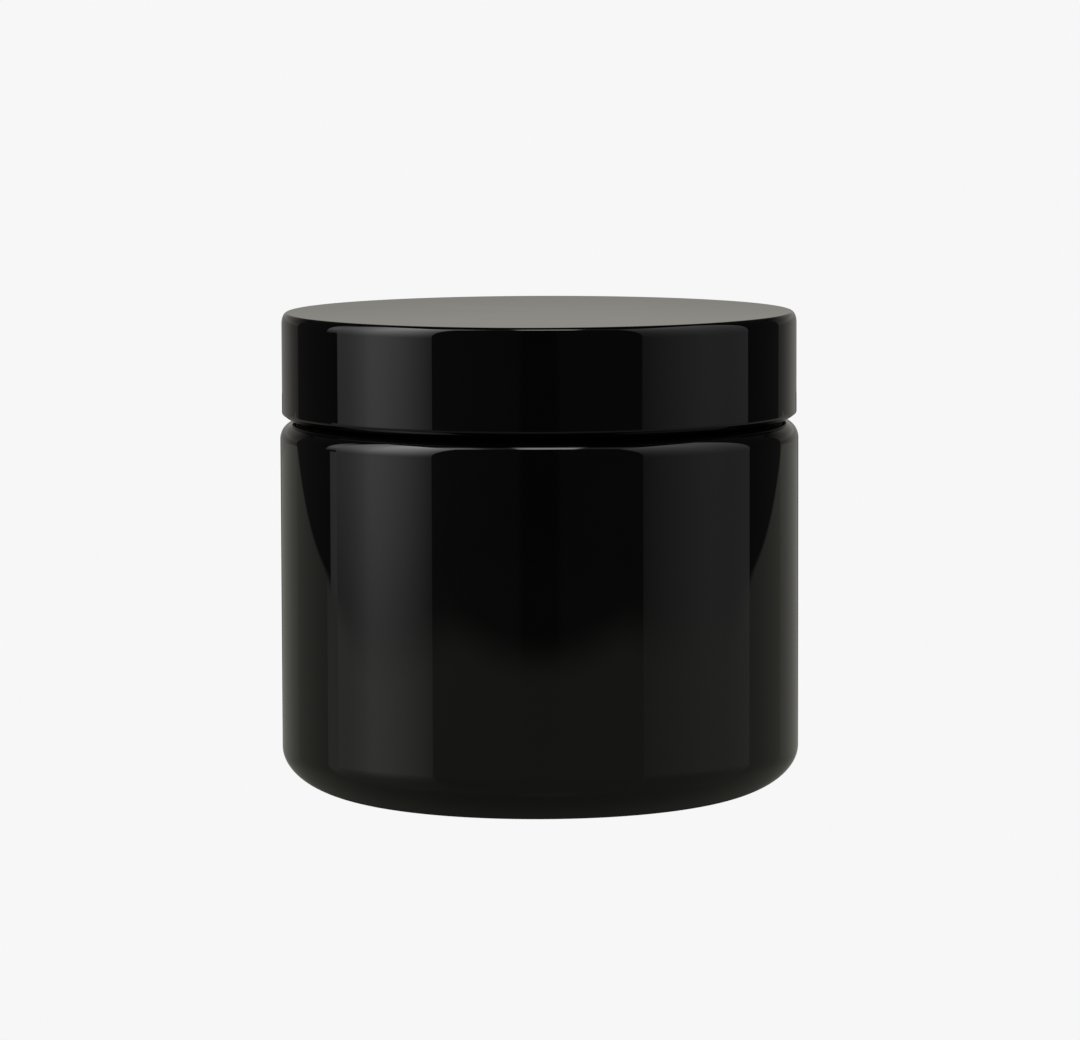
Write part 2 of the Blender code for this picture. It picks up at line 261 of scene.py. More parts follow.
def piece(made, body, node, surface):
    """Hand a finished mesh over: the body it rides, the node it replaces and its material."""
    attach(made, body)
    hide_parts(node)
    made.data.materials.clear()
    made.data.materials.append(surface)
    return made


# ---------------------------------------------------------------- materials


def new_material(name):
    made = bpy.data.materials.new(name)
    made.use_nodes = True
    nodes, links = made.node_tree.nodes, made.node_tree.links
    return made, nodes, links, nodes["Principled BSDF"]


def noise(nodes, links, scale, detail=2.0, low=0.0, high=1.0):
    """A noise in the piece's own metres, mapped to a range. Returns the output socket."""
    where = nodes.new("ShaderNodeTexCoord")
    made = nodes.new("ShaderNodeTexNoise")
    made.inputs["Scale"].default_value = scale
    made.inputs["Detail"].default_value = detail
    links.new(where.outputs["Object"], made.inputs["Vector"])
    spread = nodes.new("ShaderNodeMapRange")
    spread.inputs["From Min"].default_value = 0.3
    spread.inputs["From Max"].default_value = 0.7
    spread.inputs["To Min"].default_value = low
    spread.inputs["To Max"].default_value = high
    links.new(made.outputs["Fac"], spread.inputs["Value"])
    return spread.outputs["Result"]


def bump(nodes, links, surface, height, distance):
    made = nodes.new("ShaderNodeBump")
    made.inputs["Distance"].default_value = distance
    links.new(height, made.inputs["Height"])
    links.new(made.outputs["Normal"], surface.inputs["Normal"])


def tone(nodes, links, factor, dark, light):
    """A colour between two, by a factor socket. Returns the output socket."""
    made = nodes.new("ShaderNodeMix")
    made.data_type = "RGBA"
    links.new(factor, made.inputs["Factor"])
    made.inputs["A"].default_value = (*dark, 1)
    made.inputs["B"].default_value = (*light, 1)
    return made.outputs["Result"]


def gloss_material(name, rough, wave, ior):
    """A polished black surface with faint haze and very long, very shallow waves."""
    made, nodes, links, surface = new_material(name)
    haze = noise(nodes, links, 55.0, 3.0)
    links.new(tone(nodes, links, haze, (0.0003,) * 3, (0.0007,) * 3), surface.inputs["Base Color"])
    links.new(noise(nodes, links, 160.0, 4.0, *rough), surface.inputs["Roughness"])
    surface.inputs["IOR"].default_value = ior
    bump(nodes, links, surface, noise(nodes, links, wave, 1.0), 0.002 * MM)
    return made


def black_glass():
    return gloss_material("black_glass", rough=(0.006, 0.014), wave=45.0, ior=1.51)


def gloss_black_plastic():
    return gloss_material("gloss_black_plastic", rough=(0.008, 0.016), wave=60.0, ior=1.49)


def black_polypropylene():
    made, nodes, links, surface = new_material("black_polypropylene")
    grain = noise(nodes, links, 4200.0, 2.0)
    flow = noise(nodes, links, 90.0, 3.0)
    colour = tone(nodes, links, flow, (0.010, 0.010, 0.011), (0.016, 0.016, 0.017))
    links.new(colour, surface.inputs["Base Color"])
    links.new(noise(nodes, links, 300.0, 4.0, 0.30, 0.42), surface.inputs["Roughness"])
    surface.inputs["IOR"].default_value = 1.49
    bump(nodes, links, surface, grain, 0.01 * MM)
    return made


def foam_cells():
    """Closed-cell polyethylene foam, as cut: fine round cells."""
    made, nodes, links, surface = new_material("liner_foam")
    where = nodes.new("ShaderNodeTexCoord")
    cells = nodes.new("ShaderNodeTexVoronoi")
    cells.inputs["Scale"].default_value = 3600.0
    links.new(where.outputs["Object"], cells.inputs["Vector"])
    links.new(
        tone(nodes, links, cells.outputs["Distance"], (0.62, 0.62, 0.60), (0.86, 0.86, 0.84)),
        surface.inputs["Base Color"],
    )
    surface.inputs["Roughness"].default_value = 0.7
    bump(nodes, links, surface, cells.outputs["Distance"], 0.06 * MM)
    return made


def liner_film():
    """The smooth polyethylene film on the foam's faces, which prints through a little."""
    made, nodes, links, surface = new_material("liner_film")
    links.new(
        tone(nodes, links, noise(nodes, links, 700.0, 3.0), (0.78, 0.78, 0.765), (0.86, 0.86, 0.85)),
        surface.inputs["Base Color"],
    )
    links.new(noise(nodes, links, 500.0, 2.0, 0.26, 0.4), surface.inputs["Roughness"])
    bump(nodes, links, surface, noise(nodes, links, 1500.0, 2.0), 0.03 * MM)
    return made


def milky_polyethylene():
    made, nodes, links, surface = new_material("milky_polyethylene")
    links.new(
        tone(nodes, links, noise(nodes, links, 60.0, 3.0), (0.76, 0.78, 0.80), (0.84, 0.855, 0.87)),
        surface.inputs["Base Color"],
    )
    links.new(noise(nodes, links, 420.0, 3.0, 0.28, 0.4), surface.inputs["Roughness"])
    surface.inputs["Subsurface Weight"].default_value = 0.35
    surface.inputs["Subsurface Radius"].default_value = (1.0, 0.95, 0.9)
    surface.inputs["Subsurface Scale"].default_value = 1.2 * MM
    surface.inputs["IOR"].default_value = 1.51
    bump(nodes, links, surface, noise(nodes, links, 2600.0, 2.0), 0.006 * MM)
    return made


# ---------------------------------------------------------------- the pieces


def jar_body():
    inner_r = BODY_R - WALL
    heel_r = BODY_R - HEEL_ACROSS
    ring_inner_r = heel_r - BASE_RING_WIDTH
    throat_z = SHOULDER_Z - THROAT_DROP
    throat_round_z = throat_z + 1.9 * MM
    inside = (
        [(0.0, FLOOR + FLOOR_CROWN), (6.0 * MM, FLOOR + 0.52 * MM), (14.0 * MM, FLOOR + 0.28 * MM)]
        + arc(inner_r - INNER_HEEL, FLOOR + INNER_HEEL, INNER_HEEL, INNER_HEEL, -90, 0, 24)
        + arc(inner_r - INNER_SHOULDER, throat_z - INNER_SHOULDER, INNER_SHOULDER, INNER_SHOULDER, 0, 70, 14)
        + arc(MOUTH_R + THROAT_ROUND, throat_round_z, THROAT_ROUND, THROAT_ROUND, 250, 180, 8)
    )
    lip_z, foot_z = RIM_Z - LIP_ROUND, SHOULDER_Z + NECK_FOOT_ROUND
    lip = arc(MOUTH_R + LIP_ROUND, lip_z, LIP_ROUND, LIP_ROUND, 180, 90, 8)
    lip += arc(NECK_R - LIP_ROUND, lip_z, LIP_ROUND, LIP_ROUND, 90, 0, 8)
    neck = split((NECK_R, lip_z), (NECK_R, foot_z), 0.1 * MM)
    foot_r = NECK_R + NECK_FOOT_ROUND
    neck_foot = arc(foot_r, foot_z, NECK_FOOT_ROUND, NECK_FOOT_ROUND, 180, 270, 6)
    round_r, round_z = BODY_R - SHOULDER_ROUND, SHOULDER_Z - SHOULDER_ROUND
    ledge = wall((foot_r, SHOULDER_Z), (round_r, SHOULDER_Z), 1.0 * MM)
    shoulder = arc(round_r, round_z, SHOULDER_ROUND, SHOULDER_ROUND, 90, 0, 30)
    side = wall((BODY_R, round_z), (BODY_R, HEEL_UP), 6.0 * MM)
    heel = arc(heel_r, HEEL_UP, HEEL_ACROSS, HEEL_UP, 0, -90, 46)
    ring = split((heel_r, 0.0), (ring_inner_r, 0.0), 0.35 * MM)
    hollow = arc(ring_inner_r - BASE_SLOPE, 0.0, BASE_SLOPE, BASE_HOLLOW, 0, 90, 8)
    base = [
        (BASE_STEP_R, BASE_HOLLOW * 1.12),
        (BASE_STEP_R - 0.3 * MM, BASE_HOLLOW * 1.35),
        (0.0, BASE_HOLLOW * 1.4),
    ]

    def shift(a, r, z):
        on_neck = (np.abs(r - NECK_R) < NEAR) & (z > SHOULDER_Z)
        r = r + np.where(on_neck, ridge(a, z, THREAD_DEPTH, THREAD_BASE, THREAD_START_Z, 0.0), 0.0)
        # Moulded stipple: between its marks the ring is lifted off the surface the jar stands on.
        on_ring = np.abs(z) < NEAR
        on_ring &= (r < heel_r - STIPPLE_EDGE) & (r > ring_inner_r + STIPPLE_EDGE)
        across = np.clip((r - ring_inner_r) / BASE_RING_WIDTH, 0, 1)
        between = 0.5 - 0.5 * np.cos(STIPPLE_MARKS * a)
        lift = STIPPLE_DEPTH * between * np.sin(math.pi * across)
        return r, z + np.where(on_ring, lift, 0.0)

    outline = inside + lip + neck + neck_foot + ledge + shoulder + side + heel + ring + hollow + base
    return lathe("jar_glass_body", outline, shift)


def spline_angles(first_angle, radius):
    """Angles for a lathe whose ribs start and end on their own columns."""
    angles = []
    half = SPLINE_WIDTH / 2 / radius
    step = 2 * math.pi / SPLINES
    between = np.linspace(SPLINE_SIDE * half, step - SPLINE_SIDE * half, 25)[1:-1]
    for k in range(SPLINES):
        centre = first_angle + k * step
        for offset in (-SPLINE_SIDE, -1.0, -0.5, 0.0, 0.5, 1.0, SPLINE_SIDE):
            angles.append(centre + offset * half)
        angles.extend(centre + between)
    return np.array(sorted(angles))


def on_rib(a, first_angle, radius):
    """Whether each angle lies on one of the ribs."""
    half = SPLINE_WIDTH / 2 / radius
    step = 2 * math.pi / SPLINES
    off = np.abs((a - first_angle + step / 2) % step - step / 2)
    return off <= half * 1.01


def lid_shell():
    rib_low, rib_high = SPLINE_LOW_Z, SHELL_CEILING_Z - SPLINE_END
    corner_r, corner_z = LID_R - LID_TOP_ACROSS, TOP_Z - LID_TOP_DOWN
    bevel_r, bevel_z = LID_R - LID_BEVEL_ACROSS, LID_Z + LID_BEVEL_UP
    top = wall((3.0 * MM, TOP_Z), (corner_r, TOP_Z), 3.0 * MM)
    corner = arc(corner_r, corner_z, LID_TOP_ACROSS, LID_TOP_DOWN, 90, 0, 44)
    side = wall((LID_R, corner_z), (LID_R, bevel_z + LID_BEVEL_ROUND), 3.0 * MM)
    bevel = rounded(
        [
            (LID_R, bevel_z + LID_BEVEL_ROUND),
            (LID_R, bevel_z, LID_BEVEL_ROUND),
            (bevel_r, LID_Z, 0.3 * MM),
            (bevel_r - 0.25 * MM, LID_Z),
        ],
        count=12,
    )
    bead_r, foot_round, crest_round = SHELL_INNER_R - SHELL_BEAD_DEPTH, 0.1 * MM, 0.12 * MM
    snap = (bead_r, SHELL_BEAD_Z, SHELL_BEAD_HALF, SHELL_BEAD_SLOPE, foot_round, crest_round)
    inside = rounded(
        [
            (SHELL_INNER_R + SHELL_ENTRY / 2, LID_Z),
            (SHELL_INNER_R, LID_Z + SHELL_ENTRY, 0.05 * MM),
            *bead(SHELL_INNER_R, *snap),
            *spline_ends(SHELL_INNER_R, rib_low, rib_high),
            (SHELL_INNER_R, SHELL_CEILING_Z, SHELL_CORNER),
            (20.0 * MM, SHELL_CEILING_Z),
            (0.0, SHELL_CEILING_Z),
        ]
    )

    def shift(a, r, z):
        ribbed = (np.abs(r - SHELL_INNER_R) < NEAR) & (z > rib_low) & (z < rib_high)
        return r - np.where(ribbed & on_rib(a, 0.0, SHELL_INNER_R), SPLINE_DEPTH, 0.0), z

    outline = [(0.0, TOP_Z)] + top + corner + side + bevel[1:-1] + inside
    return lathe("lid_gloss_shell", outline, shift, spline_angles(0.0, SHELL_INNER_R))


def lid_insert():
    """The insert's ribs stand between the shell's, half a step round from them."""
    hold_z = LINER_Z - FIT
    hold_r = LINER_R - HOLD_DEPTH
    slope_z = hold_z - HOLD_TALL - HOLD_SLOPE
    thread_low_z = FOOT_Z + INSERT_THREAD_EDGE
    rib_low, rib_high = SPLINE_LOW_Z, INSERT_TOP_Z - SPLINE_END
    first_rib = math.pi / SPLINES
    # The insert's ridge rests under the neck's, a fit away from it across the flanks.
    below = (THREAD_BASE + INSERT_RIDGE_BASE) / 2 - (INSERT_ROOT_R - NECK_R) * FLANK
    below += FIT / math.cos(FLANK_ANGLE)
    start_z = THREAD_START_Z + PITCH * INSERT_FIRST_TURN - below
    outer = rounded(
        [
            (0.0, INSERT_TOP_Z),
            (INSERT_R, INSERT_TOP_Z, INSERT_CORNER),
            *spline_ends(INSERT_R, rib_low, rib_high)[::-1],
            *bead(INSERT_R, FLANGE_R, SNAP_Z, SNAP_HALF, SNAP_SLOPE, 0.12 * MM, 0.15 * MM)[::-1],
            (INSERT_R, FOOT_Z + FOOT_TALL + 0.1 * MM, 0.12 * MM),
            (FLANGE_R, FOOT_Z + FOOT_TALL, 0.1 * MM),
            (FLANGE_R, FOOT_Z, 0.15 * MM),
            (INSERT_ROOT_R, FOOT_Z, 0.3 * MM),
            (INSERT_ROOT_R, thread_low_z),
        ]
    )
    thread_wall = split((INSERT_ROOT_R, thread_low_z), (INSERT_ROOT_R, slope_z), 0.07 * MM)
    inner = rounded(
        [
            (INSERT_ROOT_R, slope_z),
            (hold_r, hold_z - HOLD_TALL, 0.15 * MM),
            (hold_r, hold_z, 0.15 * MM),
            (LINER_R + FIT, hold_z + 0.3 * MM, 0.1 * MM),
            (LINER_R + FIT, INSERT_CEILING_Z, 0.12 * MM),
            (0.0, INSERT_CEILING_Z),
        ]
    )

    def shift(a, r, z):
        ribbed = (np.abs(r - INSERT_R) < NEAR) & (z > rib_low) & (z < rib_high)
        r = r + np.where(ribbed & on_rib(a, first_rib, INSERT_R), SPLINE_DEPTH, 0.0)
        threaded = (np.abs(r - INSERT_ROOT_R) < NEAR) & (z < slope_z + 0.1 * MM)
        depth = INSERT_ROOT_R - INSERT_CREST_R
        height = ridge(a, z, depth, INSERT_RIDGE_BASE, start_z, INSERT_FIRST_TURN)
        return r - np.where(threaded, height, 0.0), z

    outline = outer + thread_wall + inner
    return lathe("lid_threaded_insert", outline, shift, spline_angles(first_rib, INSERT_R))


def liner_layer(name, low_z, high_z, edge, groove=0.0):
    """One layer of the liner. groove is how deep the mouth's rim has pressed its ring into the lower face."""
    outline = rounded(
        [(0.0, high_z), (LINER_R, high_z, edge), (LINER_R, low_z, edge), (LINER_R - 2 * edge, low_z)]
    )[:-1]
    if groove:
        rim_r = (MOUTH_R + NECK_R) / 2
        across = np.linspace(rim_r + RIM_PRINT_HALF, rim_r - RIM_PRINT_HALF, 23)
        press = groove * smooth((RIM_PRINT_HALF - np.abs(across - rim_r)) / RIM_PRINT_EDGE)
        outline += [(r, low_z + up) for r, up in zip(across, press)]
    return lathe(name, outline + [(15.0 * MM, low_z), (0.0, low_z)])


def sealing_disc():
    plug_r = MOUTH_R - FIT
    panel_top_z = DISC_TOP_Z - DISC_DISH
    panel_z = panel_top_z - DISC_THICK
    flange_z = DISC_TOP_Z - DISC_THICK
    upper = rounded(
        [
            (0.0, panel_top_z),
            (plug_r - 2.2 * MM, panel_top_z, 1.2 * MM),
            (plug_r - 1.1 * MM, panel_top_z + 0.7 * MM, 0.4 * MM),
            (plug_r - 0.6 * MM, DISC_TOP_Z, 0.3 * MM),
            (DISC_R, DISC_TOP_Z, 0.15 * MM),
            (DISC_R, flange_z, 0.12 * MM),
            (MOUTH_R + LIP_ROUND, flange_z),
        ]
    )
    lip_gap = LIP_ROUND + FIT
    under = arc(MOUTH_R + LIP_ROUND, RIM_Z - LIP_ROUND, lip_gap, lip_gap, 90, 180, 8)
    lower = rounded(
        [
            (plug_r, RIM_Z - LIP_ROUND),
            (plug_r, DISC_FOOT_Z, 0.2 * MM),
            (plug_r - 0.6 * MM, DISC_FOOT_Z, 0.2 * MM),
            (plug_r - 0.9 * MM, panel_z, 0.2 * MM),
            (0.0, panel_z),
        ]
    )
    made = lathe("mouth_sealing_disc", upper + under + lower)
    for tool in lift_tab(panel_top_z):
        union(made, tool)
    made.data.shade_smooth()
    made.data.set_sharp_from_angle(angle=math.radians(40))
    return made


def prism(name, sides, low, high, bevel):
    """An upright prism over a list of (x, y), with the edges of its two ends rounded."""
    mesh = bpy.data.meshes.new(name)
    bm = bmesh.new()
    bottom = [bm.verts.new((x, y, low)) for x, y in sides]
    top = [bm.verts.new((x, y, high)) for x, y in sides]
    bm.faces.new(bottom[::-1])
    bm.faces.new(top)
    for i in range(len(sides)):
        j = (i + 1) % len(sides)
        bm.faces.new((bottom[i], bottom[j], top[j], top[i]))
    level = [e for e in bm.edges if abs(e.verts[0].co.z - e.verts[1].co.z) < 1e-9]
    bmesh.ops.bevel(bm, geom=level, offset=bevel, segments=3, profile=0.5, affect="EDGES")
    bmesh.ops.recalc_face_normals(bm, faces=bm.faces)
    bm.to_mesh(mesh)
    bm.free()
    made = bpy.data.objects.new(name, mesh)
    bpy.context.scene.collection.objects.link(made)
    return made


def lift_tab(panel_top_z):
    """The half-round tongue over the disc's panel and the web that it hangs from."""
    low, bite, heel = panel_top_z + TAB_GAP, 0.3 * MM, 0.3 * MM
    turn = np.radians(np.linspace(4, 176, 41))
    tongue = [(TAB_R * math.cos(a), TAB_R * math.sin(a)) for a in turn]
    tongue += [(heel - TAB_R, 0.0), (TAB_R - heel, 0.0)]
    half_web = TAB_R - 1.5 * MM
    web = [(half_web, WEB_NEAR), (half_web, WEB_FAR), (-half_web, WEB_FAR), (-half_web, WEB_NEAR)]
    return [
        prism("tab_web", web, panel_top_z - bite, low + bite, 0.02 * MM),
        prism("tab_tongue", tongue, low, low + TAB_THICK, 0.15 * MM),
    ]


def union(target, tool):
    """Join a tool to the target's mesh, and drop the tool."""
    join = target.modifiers.new(tool.name, "BOOLEAN")
    join.operation, join.solver, join.object = "UNION", "EXACT", tool
    graph = bpy.context.evaluated_depsgraph_get()
    mesh = bpy.data.meshes.new_from_object(target.evaluated_get(graph))
    target.modifiers.clear()
    old, target.data = target.data, mesh
    bpy.data.meshes.remove(old)
    bpy.data.objects.remove(tool)


def build_pieces():
    glass, plastic = black_glass(), gloss_black_plastic()
    polypropylene, film = black_polypropylene(), milky_polyethylene()
    foam, face = foam_cells(), liner_film()
    piece(jar_body(), "jar", "jar_body", glass)
    piece(lid_shell(), "lid", "lid_shell", plastic)
    piece(lid_insert(), "lid", "lid_insert", polypropylene)
    core_z, core_top_z = LINER_Z + LINER_SKIN, LINER_TOP_Z - LINER_SKIN
    core = liner_layer("liner_foam_core", core_z, core_top_z, 0.05 * MM, RIM_PRINT)
    piece(core, "liner", "lid_liner", foam)
    lower = liner_layer("liner_film_lower", LINER_Z, core_z, 0.02 * MM)
    piece(lower, "liner", "lid_liner", face)
    upper = liner_layer("liner_film_upper", core_top_z, LINER_TOP_Z, 0.02 * MM)
    piece(upper, "liner", "lid_liner", face)
    piece(sealing_disc(), "seal", "sealing_disc", film)


# ---------------------------------------------------------------- studio

BACKGROUND = 0.9301  # linear, a very pale grey
ROOM = 0.033  # what the unlit room gives back to the gloss
REACH, BACKDROP_REACH = 0.9, 1.2  # how far the upright lights stand from the jar
CEILING_Z = 1.3
FLOOR_DROP = 0.2 * MM  # how far the floor and the table lie under the jar
FLOOR_SIDE = 2.5  # half the floor's side
TABLE_FRONT, TABLE_FADE, TABLE_FAR = -0.26, 0.08, 0.5
TABLE_HALF, TABLE_WIDEN = 0.296, 0.34  # half its width at the jar, and how fast that grows to the back
FLAG_FAR, FLAG_HALF, FLAG_WIDEN = 0.7, 0.031, 0.2


def stage_mesh(name, corners, surface, camera, glossy):
    """A stage sheet through its corners, with UVs that run from the first corner to the third.

    camera and glossy say whether the camera and the gloss see it.
    """
    mesh = bpy.data.meshes.new(name)
    mesh.from_pydata(corners, [], [tuple(range(len(corners)))])
    layer = mesh.uv_layers.new(name="UVMap")
    for loop, uv in zip(layer.data, ((0, 0), (1, 0), (1, 1), (0, 1))):
        loop.uv = uv
    mesh.materials.append(surface)
    made = bpy.data.objects.new(name, mesh)
    bpy.context.scene.collection.objects.link(made)
    made.visible_camera = camera
    made.visible_glossy = glossy
    made.visible_shadow = False
    made.visible_transmission = camera
    made.visible_volume_scatter = False
    return made


def ramp(nodes, links, factor, stops):
    """A level that passes through (place, value) stops, eased between them. Values may pass 1."""
    curve = nodes.new("ShaderNodeFloatCurve")
    top = max(v for _, v in stops)
    points = curve.mapping.curves[0].points
    points[0].location = (stops[0][0], stops[0][1] / top)
    points[1].location = (stops[-1][0], stops[-1][1] / top)
    for place, value in stops[1:-1]:
        points.new(place, value / top)
    for p in points:
        p.handle_type = "AUTO_CLAMPED"
    curve.mapping.update()
    links.new(factor, curve.inputs["Value"])
    scaled = nodes.new("ShaderNodeMath")
    scaled.operation = "MULTIPLY"
    scaled.inputs[1].default_value = top
    links.new(curve.outputs["Value"], scaled.inputs[0])
    return scaled.outputs["Value"]


def light_material(name, colour, across, up):
    """An emitter whose strength is the product of a ramp across its UVs and a ramp up them."""
    made = bpy.data.materials.new(name)
    made.use_nodes = True
    nodes, links = made.node_tree.nodes, made.node_tree.links
    nodes.clear()
    where = nodes.new("ShaderNodeUVMap")
    parts = nodes.new("ShaderNodeSeparateXYZ")
    links.new(where.outputs["UV"], parts.inputs["Vector"])
    product = nodes.new("ShaderNodeMath")
    product.operation = "MULTIPLY"
    links.new(ramp(nodes, links, parts.outputs["X"], across), product.inputs[0])
    links.new(ramp(nodes, links, parts.outputs["Y"], up), product.inputs[1])
    emit = nodes.new("ShaderNodeEmission")
    emit.inputs["Color"].default_value = (*colour, 1)
    links.new(product.outputs["Value"], emit.inputs["Strength"])
    out = nodes.new("ShaderNodeOutputMaterial")
    links.new(emit.outputs["Emission"], out.inputs["Surface"])
    return made


def placed(stops, low, high):
    """Stops given in the sheet's own measure, moved to the 0 to 1 of its UVs."""
    return [((place - low) / (high - low), value) for place, value in stops]


def wall_light(name, colour, across, up, distance=REACH):
    """An upright light. across is (azimuth, level) stops, up is (height, gain) stops.

    Azimuths are in degrees from the camera's side, positive to the right.
    """
    first, last, low, high = across[0][0], across[-1][0], up[0][0], up[-1][0]
    middle, half = (first + last) / 2, (last - first) / 2
    spread = math.tan(math.radians(half))
    across = [(math.tan(math.radians(a - middle)) / spread, level) for a, level in across]
    corners = []
    for azimuth, z in ((first, low), (last, low), (last, high), (first, high)):
        a = math.radians(azimuth)
        corners.append((distance * math.sin(a), -distance * math.cos(a), z))
    surface = light_material(name, colour, placed(across, -1, 1), placed(up, low, high))
    return stage_mesh(name, corners, surface, False, True)


def ceiling_light(name, colour, across, along):
    """A level light. across is (x, level) stops, along is (y, gain) stops."""
    first, last, near, far = across[0][0], across[-1][0], along[0][0], along[-1][0]
    corners = [(x, y, CEILING_Z) for x, y in ((first, near), (last, near), (last, far), (first, far))]
    surface = light_material(name, colour, placed(across, first, last), placed(along, near, far))
    return stage_mesh(name, corners, surface, False, True)


def eased(nodes, links, value, low, high, out_low=0.0, out_high=1.0):
    """A smooth step of a socket from one range to another. low and high may be sockets."""
    made = nodes.new("ShaderNodeMapRange")
    made.interpolation_type = "SMOOTHSTEP"
    links.new(value, made.inputs["Value"])
    for name, bound in (("From Min", low), ("From Max", high)):
        if isinstance(bound, float):
            made.inputs[name].default_value = bound
        else:
            links.new(bound, made.inputs[name])
    made.inputs["To Min"].default_value = out_low
    made.inputs["To Max"].default_value = out_high
    return made.outputs["Result"]


def math_node(nodes, links, operation, *values):
    made = nodes.new("ShaderNodeMath")
    made.operation = operation
    for socket, value in zip(made.inputs, values):
        if isinstance(value, float):
            socket.default_value = value
        else:
            links.new(value, socket)
    return made.outputs["Value"]


def table_material():
    """The table as the gloss sees it: satin, with a painted warm glow for the lit table, a painted shadow
    that dims it close under the jar, and soft at its edges.
    """
    made = bpy.data.materials.new("table_reflected")
    made.use_nodes = True
    nodes, links = made.node_tree.nodes, made.node_tree.links
    surface = nodes["Principled BSDF"]
    surface.inputs["Base Color"].default_value = (0, 0, 0, 1)
    surface.inputs["Roughness"].default_value = 0.1
    surface.inputs["IOR"].default_value = 1.16
    where = nodes.new("ShaderNodeTexCoord")
    length = nodes.new("ShaderNodeVectorMath")
    length.operation = "LENGTH"
    links.new(where.outputs["Object"], length.inputs[0])
    # Painted shadow: the table's glow falls off close under the jar, where the jar would shade it.
    painted_shadow_stop, unshadowed_stop = (0.71 * BODY_R, 0.015), (1.14 * BODY_R, 0.155)  # distance from the axis, and level
    near = eased(nodes, links, length.outputs["Value"], painted_shadow_stop[0], unshadowed_stop[0], painted_shadow_stop[1], unshadowed_stop[1])
    surface.inputs["Emission Color"].default_value = (1, 1, 0.87, 1)
    links.new(near, surface.inputs["Emission Strength"])
    parts = nodes.new("ShaderNodeSeparateXYZ")
    links.new(where.outputs["Object"], parts.inputs["Vector"])
    x, y = parts.outputs["X"], parts.outputs["Y"]
    width = math_node(nodes, links, "MULTIPLY_ADD", y, TABLE_WIDEN, TABLE_HALF)
    inset = math_node(nodes, links, "SUBTRACT", width, math_node(nodes, links, "ABSOLUTE", x))
    softness = eased(nodes, links, y, -0.05, 0.1, 0.12, 0.012)
    sides = eased(nodes, links, inset, 0.0, softness)
    ahead = eased(nodes, links, y, TABLE_FRONT, TABLE_FRONT + TABLE_FADE)
    links.new(math_node(nodes, links, "MULTIPLY", sides, ahead), surface.inputs["Alpha"])
    return made


def table_sheet(name, near, far, near_half, far_half, z, surface):
    """A level sheet that widens away from the camera, seen only by the gloss."""
    corners = [(-near_half, near, z), (near_half, near, z), (far_half, far, z), (-far_half, far, z)]
    stage_mesh(name, corners, surface, False, True)


def build_stage():
    plain = bpy.data.materials.new("pale_floor")
    plain.use_nodes = True
    nodes, links = plain.node_tree.nodes, plain.node_tree.links
    nodes.clear()
    emit, out = nodes.new("ShaderNodeEmission"), nodes.new("ShaderNodeOutputMaterial")
    emit.inputs["Color"].default_value = (BACKGROUND, BACKGROUND, BACKGROUND, 1)
    links.new(emit.outputs["Emission"], out.inputs["Surface"])
    side, z = FLOOR_SIDE, -FLOOR_DROP
    floor = [(-side, -side, z), (side, -side, z), (side, side, z), (-side, side, z)]
    stage_mesh("floor", floor, plain, True, False)

    near_half, far_half = TABLE_HALF + TABLE_WIDEN * TABLE_FRONT, TABLE_HALF + TABLE_WIDEN * TABLE_FAR
    table_sheet("table_reflected", TABLE_FRONT, TABLE_FAR, near_half, far_half, z, table_material())


def painted_shade_flag():
    """Black card on the table from under the jar back, seen only by the gloss: painted shade standing for the
    table in the jar's shadow, which draws a dark line down the jar's edges.
    """
    black = bpy.data.materials.new("painted_shade_flag")
    black.use_nodes = True
    surface = black.node_tree.nodes["Principled BSDF"]
    surface.inputs["Base Color"].default_value = (0.002, 0.002, 0.002, 1)
    surface.inputs["Specular IOR Level"].default_value = 0.0
    far_half = FLAG_HALF + FLAG_WIDEN * FLAG_FAR
    table_sheet("painted_shade_on_table", 0.0, FLAG_FAR, FLAG_HALF, far_half, 0.0, black)


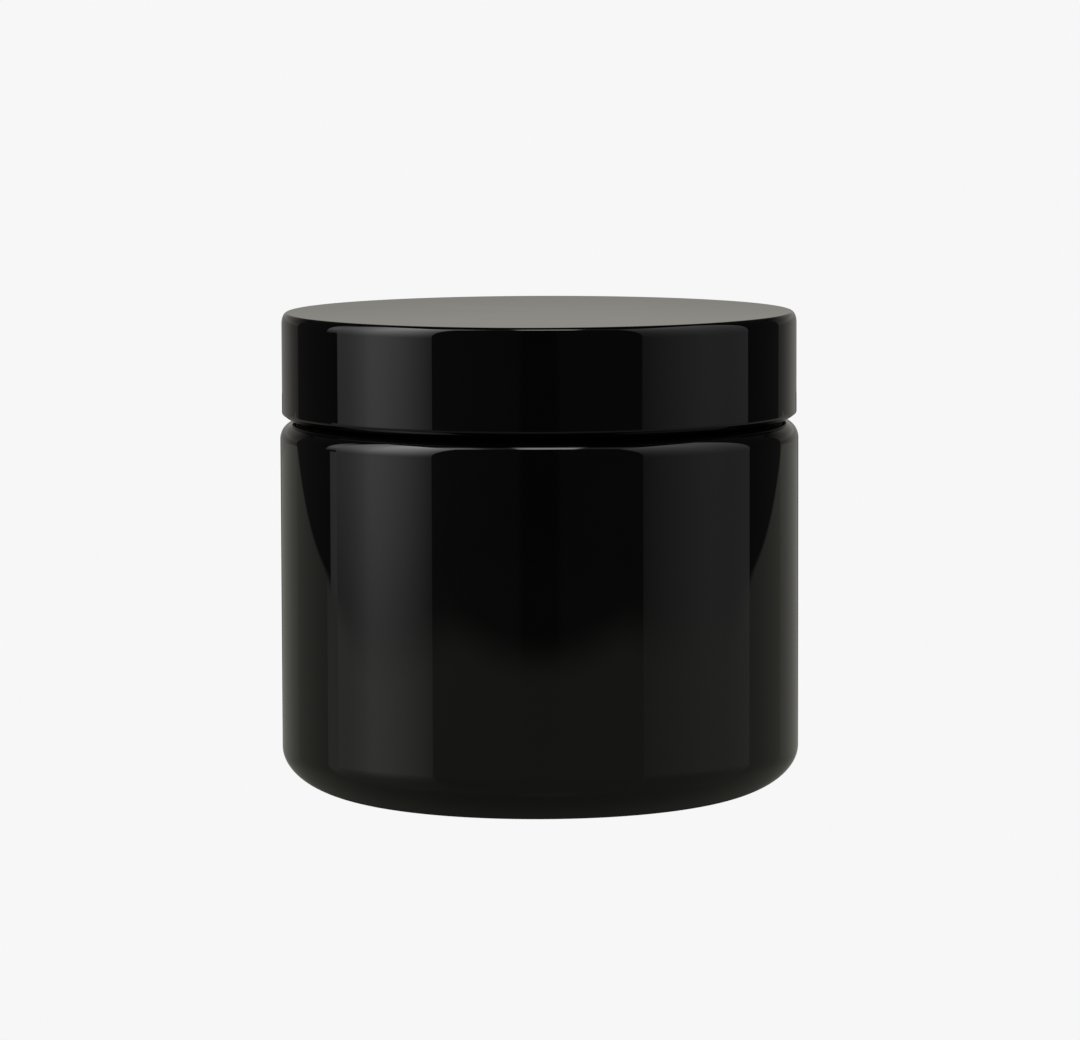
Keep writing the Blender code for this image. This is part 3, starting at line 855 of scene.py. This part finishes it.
def build_lights():
    white, warm = (1.0, 1.0, 1.0), (1.0, 0.98, 0.9)
    backdrop_up = [
        (-0.12, 0.9), (0.0, 0.9), (0.136, 1.08), (0.1475, 1.3), (0.2, 1.15), (0.3, 0.85), (0.4, 0.6),
        (0.5, 0.3), (0.62, 0.05),
    ]
    wall_light(
        "softbox_left", white,
        [(-47.4, 0.3), (-55, 0.55), (-65, 0.8), (-75, 0.92), (-84, 0.68), (-92, 0.46), (-99.6, 0.36)],
        [(-0.25, 0.3), (-0.1, 0.4), (-0.065, 0.6), (-0.035, 0.84), (0.0, 1.0), (0.12, 1.55), (0.35, 3.0),
         (0.65, 4.2), (1.1, 5.4)],
    )
    wall_light("softbox_left_corner", white, [(-99.6, 0.36), (-104.2, 0.3)], [(-0.25, 0.3), (-0.027, 1.0)])
    wall_light(
        "softbox_right", white,
        [(45.4, 0.15), (55, 0.22), (65, 0.27), (78, 0.31), (92, 0.27), (104.7, 0.25)],
        [(-0.25, 0.9), (-0.035, 0.9), (0.0, 1.0), (0.12, 1.25), (0.35, 1.9), (0.65, 2.9), (1.1, 4.2)],
    )
    wall_light(
        "camera_side", (0.97, 1.0, 0.98),
        [(-47.4, 0.065), (-30, 0.055), (-10, 0.048), (-6, 0.026), (6, 0.026), (10, 0.045), (45.4, 0.05)],
        [(-0.25, 1.0), (0.3, 1.0), (1.1, 0.8)],
    )
    wall_light(
        "backdrop_left", warm,
        [(-135, 0.11), (-143, 0.17), (-150, 0.24), (-160, 0.27), (-180, 0.29)],
        backdrop_up, BACKDROP_REACH,
    )
    wall_light(
        "backdrop_right", warm,
        [(133, 0.12), (140, 0.17), (147, 0.24), (157, 0.31), (180, 0.29)],
        backdrop_up, BACKDROP_REACH,
    )
    wall_light(
        "softbox_left_upper", white,
        [(-99.6, 0.36), (-104, 0.34), (-107, 0.26)],
        [(0.05, 0.5), (0.14, 1.4), (0.35, 3.0), (0.55, 2.2), (0.75, 0.3)],
    )
    ceiling_light(
        "overhead", white,
        [(-0.9, 3.4), (-0.6, 2.4), (-0.3, 0.35), (-0.22, 0.4), (-0.16, 4.0), (0.0, 6.0), (0.2, 6.0),
         (0.3, 3.0), (0.36, 0.4), (0.7, 0.5), (1.0, 1.0)],
        [(-1.1, 0.04), (-1.0, 0.1), (-0.85, 0.35), (-0.72, 0.6), (-0.6, 0.75), (-0.5, 0.7), (-0.42, 0.35),
         (-0.36, 0.1), (-0.3, 0.02), (-0.1, 0.02)],
    )


def build_world():
    world = bpy.data.worlds.new("studio")
    bpy.context.scene.world = world
    world.use_nodes = True
    nodes, links = world.node_tree.nodes, world.node_tree.links
    nodes.clear()
    path = nodes.new("ShaderNodeLightPath")
    level = nodes.new("ShaderNodeMix")
    level.data_type = "FLOAT"
    level.inputs["A"].default_value = ROOM
    level.inputs["B"].default_value = BACKGROUND
    links.new(path.outputs["Is Camera Ray"], level.inputs["Factor"])
    back, out = nodes.new("ShaderNodeBackground"), nodes.new("ShaderNodeOutputWorld")
    back.inputs["Color"].default_value = (1, 1, 1, 1)
    links.new(level.outputs["Result"], back.inputs["Strength"])
    links.new(back.outputs["Background"], out.inputs["Surface"])


def build_camera():
    """A long lens a little above the jar."""
    lens, drop, roll, distance = 199.1, math.radians(5.63), math.radians(0.19), 0.809
    aim = Vector((0.047 * MM, 0, 37.27 * MM))
    back = Vector((0, -math.cos(drop), math.sin(drop)))
    data = bpy.data.cameras.new("camera")
    data.sensor_width, data.lens = 36, lens
    data.clip_start, data.clip_end = 0.01, 20
    camera = bpy.data.objects.new("camera", data)
    bpy.context.scene.collection.objects.link(camera)
    turn = (-back).to_track_quat("-Z", "Y").to_matrix().to_4x4()
    camera.matrix_world = Matrix.Translation(aim + back * distance) @ turn @ Matrix.Rotation(-roll, 4, "Z")
    bpy.context.scene.camera = camera


build_pieces()
build_stage()
painted_shade_flag()
build_lights()
build_world()
build_camera()
bpy.context.scene.view_settings.view_transform = "Standard"
